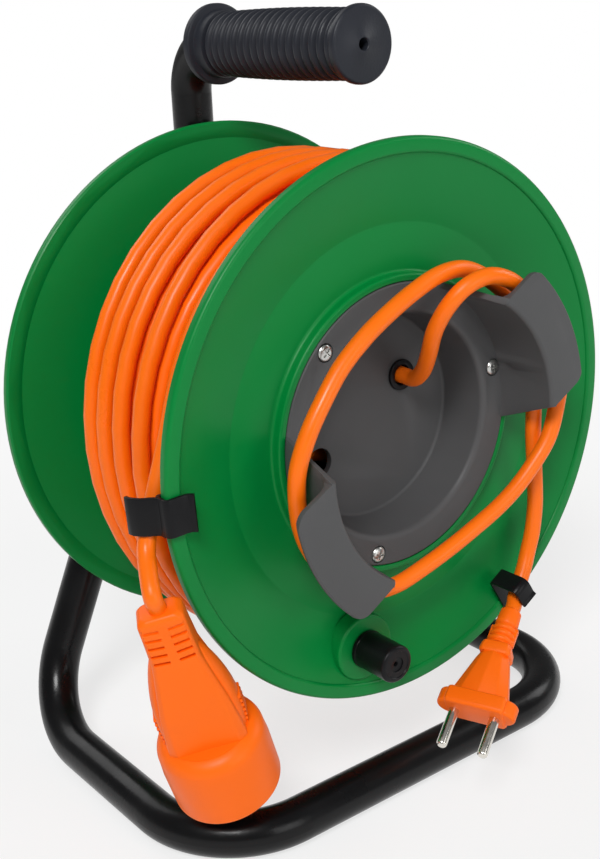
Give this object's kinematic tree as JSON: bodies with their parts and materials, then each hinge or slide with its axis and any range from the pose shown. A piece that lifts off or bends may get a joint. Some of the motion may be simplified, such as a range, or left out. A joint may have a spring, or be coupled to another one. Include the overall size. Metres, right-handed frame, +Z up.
{
  "type": "extension cord reel",
  "caption": "Hand-held cord reel: a drum on a tubular stand with a carrying grip, a crank knob, a wound cord, a plug lead looped over two cord wings, and a hanging socket.",
  "frame": {"origin": "on the floor, below the middle of the stand, without the hanging cord ends", "axes": "+Z up; the front flange with the hub insert and the crank knob looks along -Y; the drum turns about a line along Y"},
  "size_m": [0.2708, 0.2172, 0.3555],
  "materials": {
    "black_coated_steel": "gloss powder coat",
    "grip_rubber": "satin moulded",
    "zinc_steel": "zinc plated",
    "green_plastic": "satin moulded",
    "white_nylon": "smooth",
    "grey_plastic": "fine moulded grain",
    "black_plastic": "satin moulded",
    "orange_sheath": "satin sheath",
    "orange_plastic": "satin moulded",
    "nickel_brass": "nickel plated",
    "contact_brass": "smooth"
  },
  "bodies": {
    "stand": {"base_tube": "black_coated_steel", "left_leg": "black_coated_steel", "right_leg": "black_coated_steel", "riser_tube": "black_coated_steel", "handle_grip": "grip_rubber", "axle_plate": "black_coated_steel", "axle": "zinc_steel", "axle_washer": "zinc_steel", "axle_nut": "zinc_steel", "axle_retainer": "zinc_steel", "socket_lead": "orange_sheath", "socket_body": "orange_plastic", "socket_face": "grey_plastic", "socket_contacts": "contact_brass"},
    "drum": {"front_flange": "green_plastic", "rear_flange": "green_plastic", "drum_shell": "green_plastic", "drum_partition": "green_plastic", "front_bush": "white_nylon", "rear_bush": "white_nylon", "hub_insert": "grey_plastic", "insert_screws": "zinc_steel", "rear_screws": "zinc_steel", "lead_collar": "black_plastic", "knob_pin": "zinc_steel", "socket_clip": "black_plastic", "plug_clip": "black_plastic", "wound_core": "orange_sheath", "wound_cord": "orange_sheath", "inner_lead": "orange_sheath", "plug_lead": "orange_sheath", "plug_relief": "orange_plastic", "plug_body": "orange_plastic", "plug_pins": "nickel_brass"},
    "knob": {"crank_knob": "black_plastic"}
  },
  "joints": [
    {"name": "drum_spin", "type": "hinge", "parent": "stand", "child": "drum", "pos_m": [0, 0.00065, 0.176], "axis": [0, 1, 0], "continuous": true},
    {"name": "knob_spin", "type": "hinge", "parent": "drum", "child": "knob", "pos_m": [-0.02784, 0.00065, 0.07891], "axis": [0, 1, 0], "continuous": true}
  ]
}
